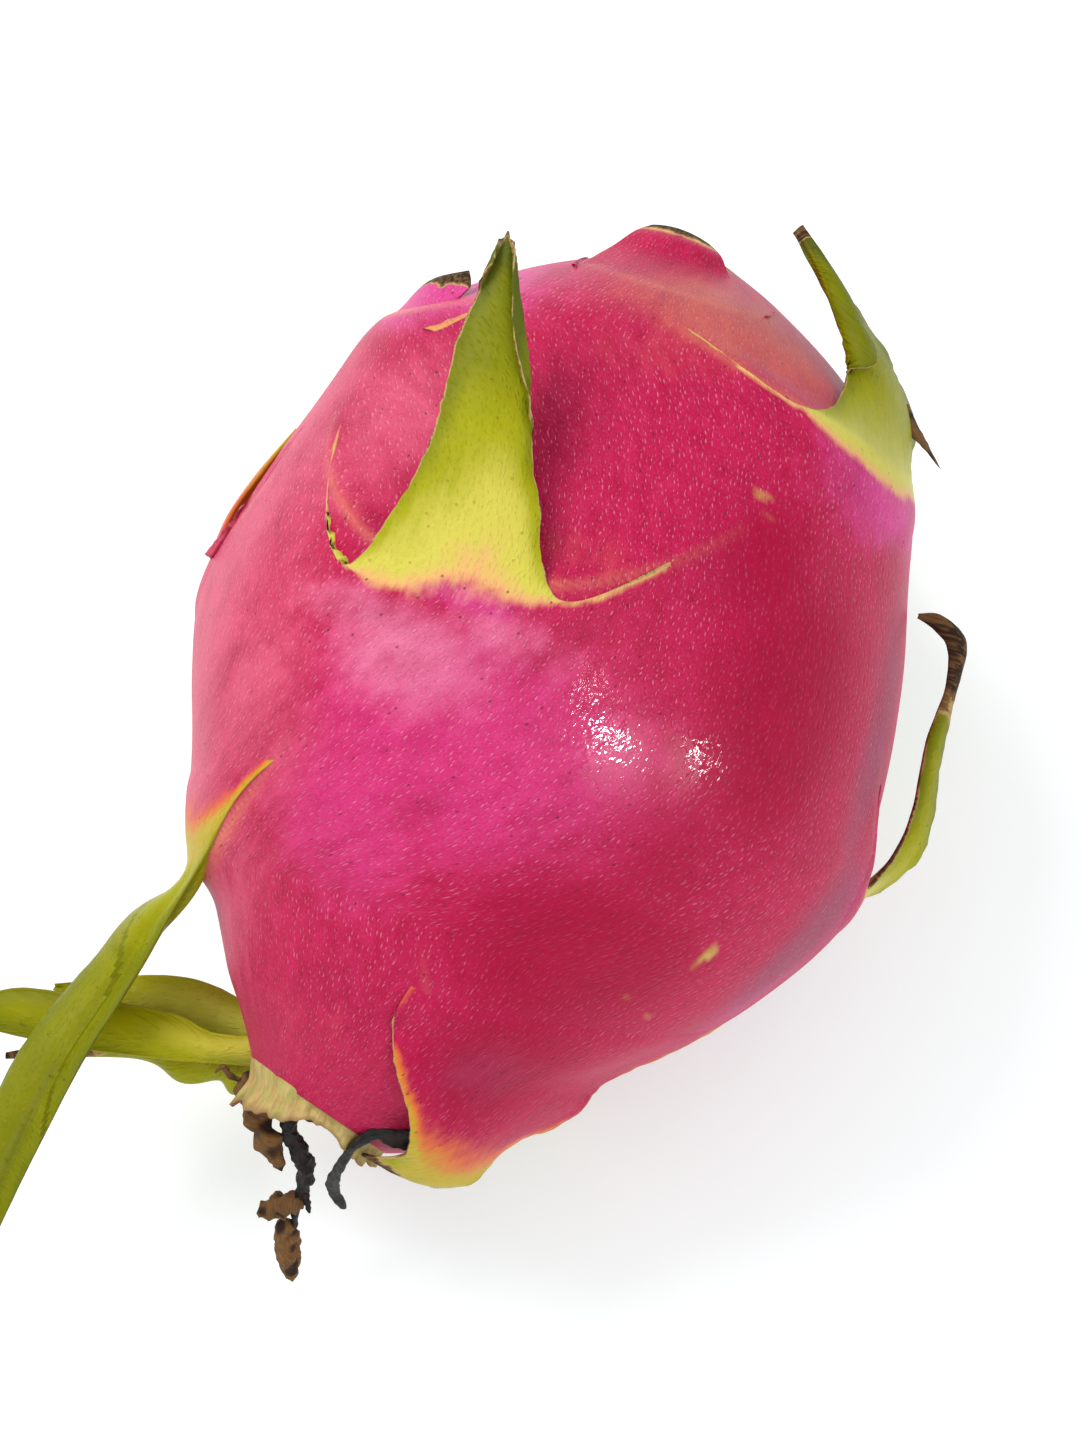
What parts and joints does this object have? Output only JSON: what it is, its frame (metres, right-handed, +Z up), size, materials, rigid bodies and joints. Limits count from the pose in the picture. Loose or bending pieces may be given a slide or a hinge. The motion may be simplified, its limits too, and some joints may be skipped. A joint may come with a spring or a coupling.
{
  "type": "dragon fruit",
  "caption": "Whole pink dragon fruit lying on its side, with leafy green scales and the withered flower at its blossom end.",
  "frame": {"origin": "middle of the small flat spot on the rind that the fruit rests on", "axes": "+Z up from the table; the fruit's axis runs from the blossom end to the stem end, 20 degrees from +Y towards +X and 12.7 degrees above level"},
  "size_m": [0.1333, 0.1512, 0.1019],
  "materials": {
    "rind": "waxy pink rind with pale flecks, turning yellow-green on the scales",
    "dry_petal": "matt, dried petal tissue",
    "dried_black": "shrivelled, dull black",
    "dried_brown": "crumbly, matt brown"
  },
  "bodies": {
    "root": {"fruit": "rind", "withered_flower_collar": "dry_petal", "dried_style_long": "dried_black", "dried_style_short": "dried_black", "dried_flower_lump": "dried_brown", "dried_flower_scrap": "dried_brown"}
  },
  "joints": []
}
